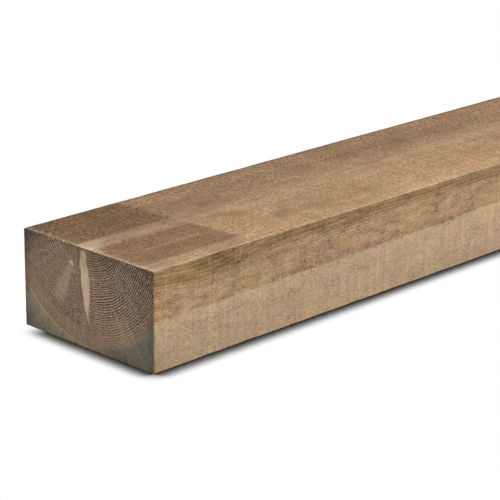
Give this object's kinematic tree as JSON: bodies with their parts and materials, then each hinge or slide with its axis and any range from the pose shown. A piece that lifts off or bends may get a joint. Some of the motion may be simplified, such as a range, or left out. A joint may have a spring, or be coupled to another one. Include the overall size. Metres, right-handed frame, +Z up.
{
  "type": "railway sleeper",
  "caption": "Solid rectangular balk of sawn, pressure-treated brown softwood with eased long edges and square crosscut ends, for edging, steps, raised beds and low walls.",
  "frame": {"origin": "middle of the underside, on the floor that the sleeper lies on", "axes": "+X along the length, with the end that the picture shows at -X; +Y across the width, away from the long side that the picture shows; +Z up through the thickness"},
  "size_m": [2.4, 0.22, 0.12],
  "materials": {
    "treated_softwood": "rough sawn, brown pressure treated, with open growth rings on the crosscut ends"
  },
  "bodies": {
    "root": {"sleeper": "treated_softwood"}
  },
  "joints": []
}
